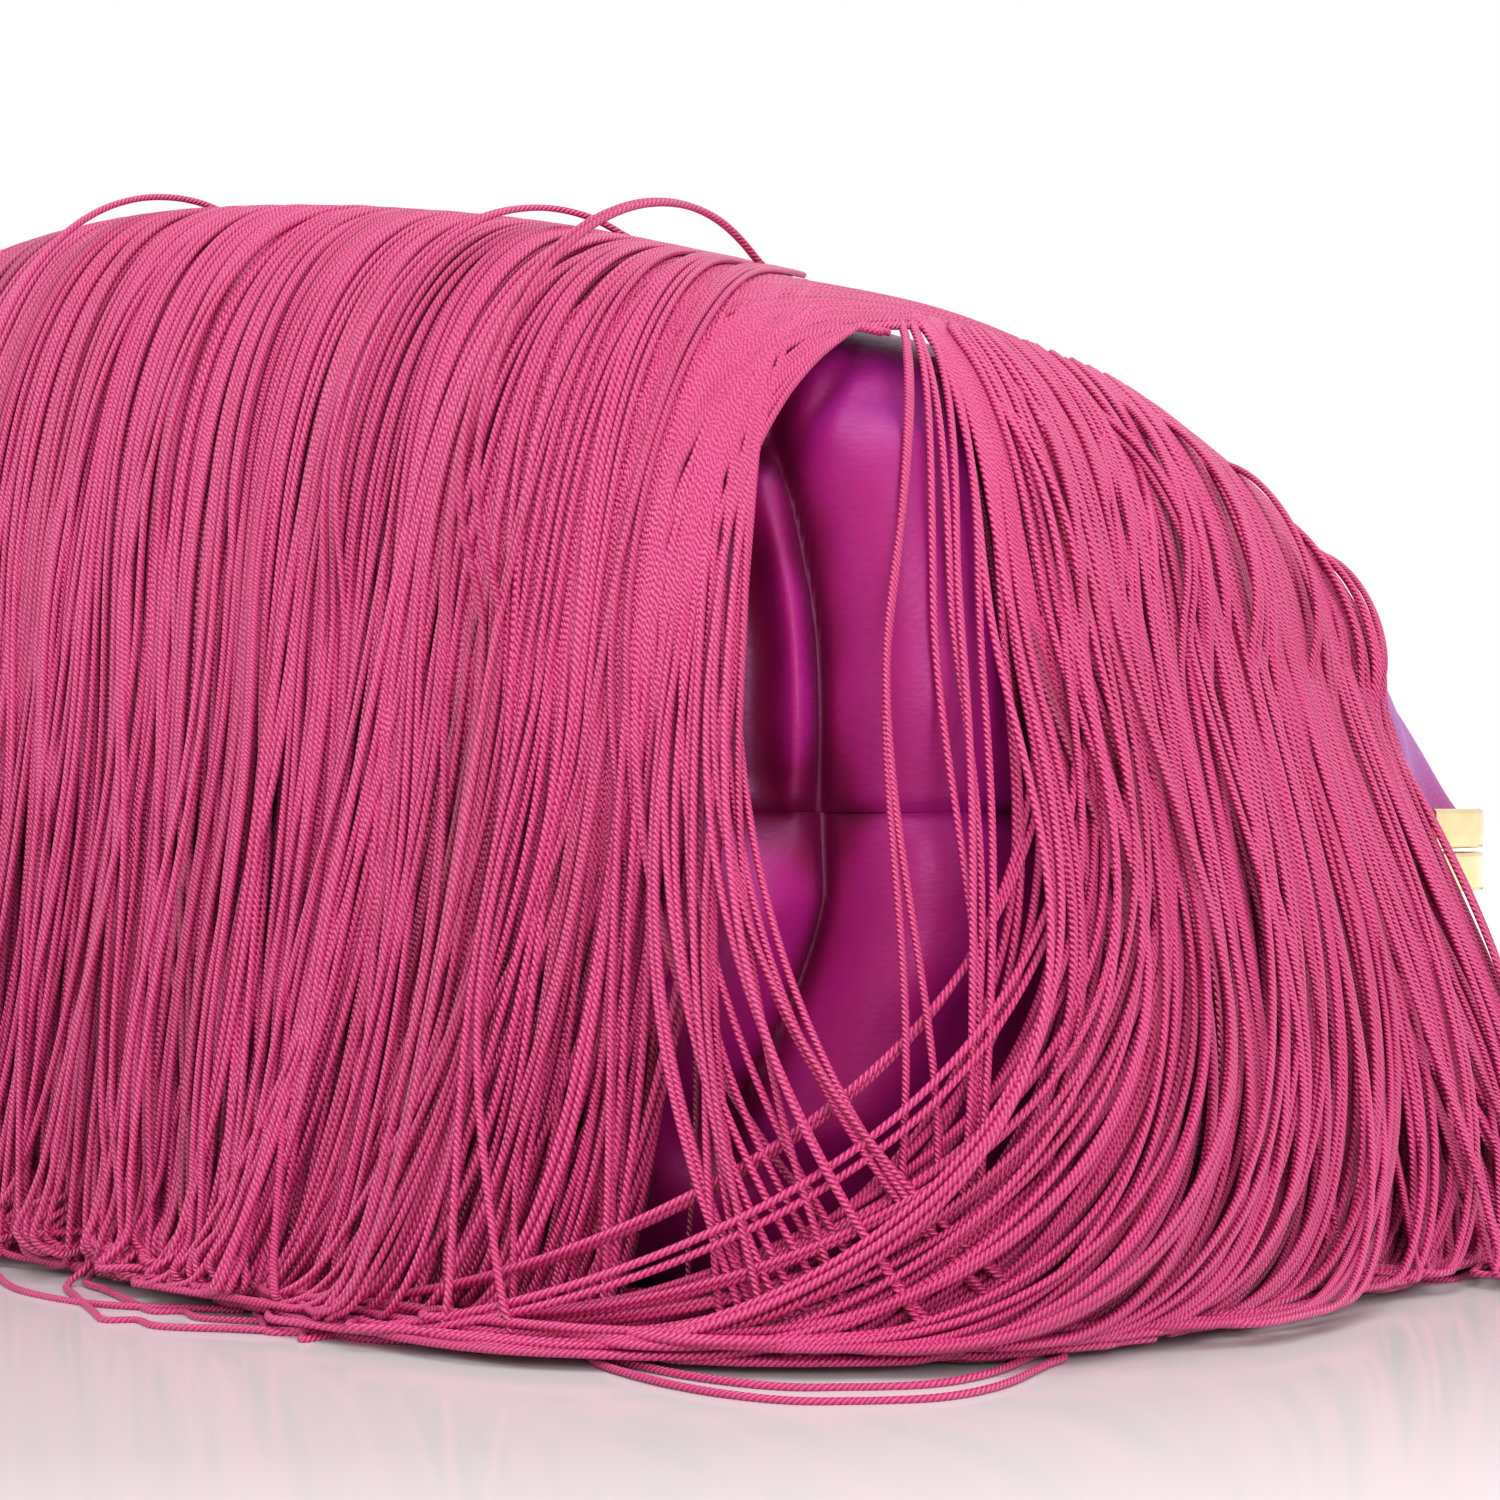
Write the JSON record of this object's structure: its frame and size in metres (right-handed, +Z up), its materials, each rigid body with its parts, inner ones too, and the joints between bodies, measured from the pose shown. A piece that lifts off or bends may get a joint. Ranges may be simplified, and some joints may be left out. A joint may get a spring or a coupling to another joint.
{
  "type": "fringed satin frame clutch bag",
  "caption": "Soft satin frame clutch lying on its back, with long looped cord fringe along its sides and bottom edge, and a hinged metal frame with a kiss lock.",
  "frame": {"origin": "centre of the whole model's footprint, on the surface the bag lies on", "axes": "+X along the bag's width, +Y from its bottom edge towards the metal frame, +Z up, out of the front panel"},
  "size_m": [0.38, 0.242, 0.1428],
  "materials": {
    "satin": "duchesse satin",
    "wadding": "matte",
    "lining": "satin lining",
    "gold_metal": "polished light gold",
    "paper_cord": "matte twisted paper",
    "header_tape": "woven tape",
    "fringe_cord": "lustrous twisted viscose cord"
  },
  "bodies": {
    "bag": {"front_panel": "satin", "rear_panel": "satin", "front_wadding": "wadding", "rear_wadding": "wadding", "front_lining": "lining", "rear_lining": "lining", "slip_pocket": "lining", "frame_rear": "gold_metal", "hinge_rivet_right": "gold_metal", "hinge_rivet_left": "gold_metal", "hinge_washers": "gold_metal", "rear_frame_cord": "paper_cord", "rear_mouth_panel": "satin", "clasp_ball_rear": "gold_metal", "header_tape_bottom": "header_tape", "header_tape_right": "header_tape", "header_tape_left": "header_tape", "fringe_bottom": "fringe_cord", "fringe_right": "fringe_cord", "fringe_left": "fringe_cord"},
    "front_frame": {"frame_front": "gold_metal", "front_frame_cord": "paper_cord", "front_mouth_panel": "satin", "clasp_ball_front": "gold_metal"}
  },
  "joints": [
    {"name": "frame_hinge", "type": "hinge", "parent": "bag", "child": "front_frame", "pos_m": [0, 0.072, 0.05], "axis": [1, 0, 0], "range_deg": [0, 75]}
  ]
}
